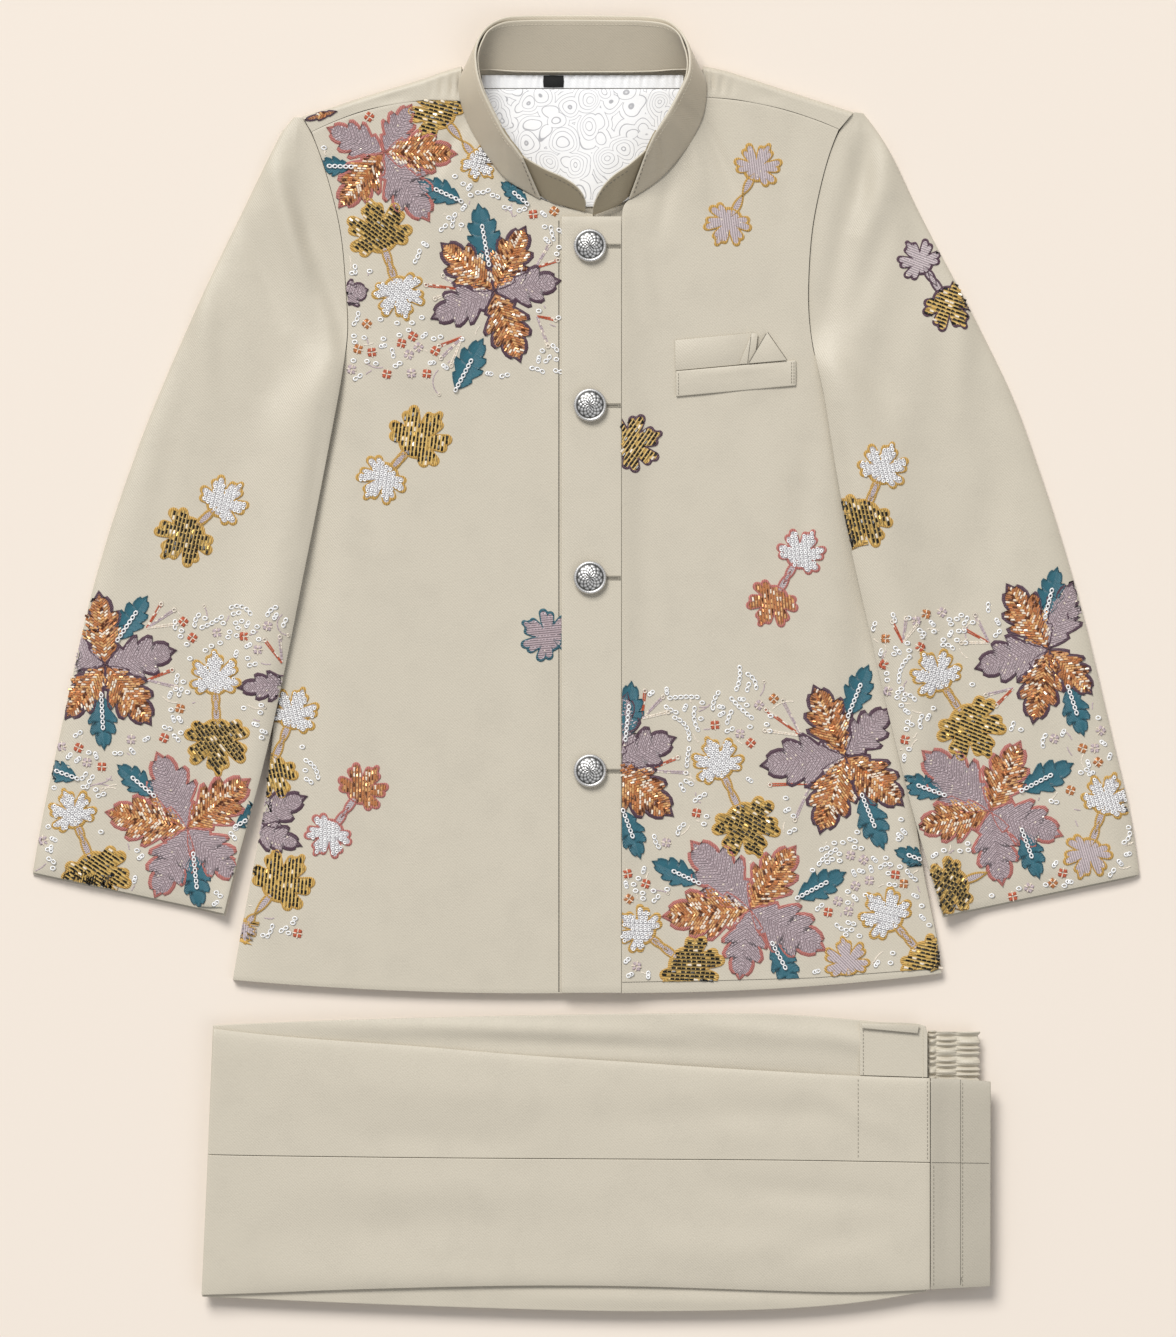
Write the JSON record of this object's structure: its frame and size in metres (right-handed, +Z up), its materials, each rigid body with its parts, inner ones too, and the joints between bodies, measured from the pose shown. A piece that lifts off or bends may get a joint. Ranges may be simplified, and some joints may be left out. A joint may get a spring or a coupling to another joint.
{
  "type": "sherwani set laid flat",
  "caption": "Child's embroidered stand-collar jacket laid flat, with front placket, shank buttons and breast pocket, above its folded trousers with elastic back waist.",
  "frame": {"origin": "on the floor, under the middle of the whole set as it lies", "axes": "+Z up from the floor, +Y from the hems towards the collar, +X towards the wearer's left sleeve"},
  "size_m": [0.637, 0.7454, 0.0296],
  "materials": {
    "suiting": "smooth satin twill, slight sheen",
    "collar_tab": "smooth satin twill, a shade darker",
    "lining": "smooth printed lining",
    "label": "woven tape",
    "button_metal": "antiqued pewter",
    "embroidery_thread": "raised satin-stitch thread in several colours",
    "sequins": "small shiny sequins in copper, gold, black and pearl"
  },
  "bodies": {
    "root": {"back": "suiting", "front_right": "suiting", "front_left": "suiting", "placket": "suiting", "sleeve_right_under": "suiting", "sleeve_right_top": "suiting", "sleeve_left_under": "suiting", "sleeve_left_top": "suiting", "collar_outer": "suiting", "collar_inner": "suiting", "collar_tab_right": "collar_tab", "collar_tab_left": "collar_tab", "neck_lining": "lining", "lining_strip": "lining", "neck_label": "label", "pocket_welt": "suiting", "pocket_square": "suiting", "button_1": "button_metal", "button_2": "button_metal", "button_3": "button_metal", "button_4": "button_metal", "trouser_layers": "suiting", "trouser_leg_under": "suiting", "trouser_upper_back": "suiting", "trouser_upper_front": "suiting", "trouser_waistband": "suiting", "trouser_hip_panel": "suiting", "elastic_waistband": "suiting"}
  },
  "joints": []
}
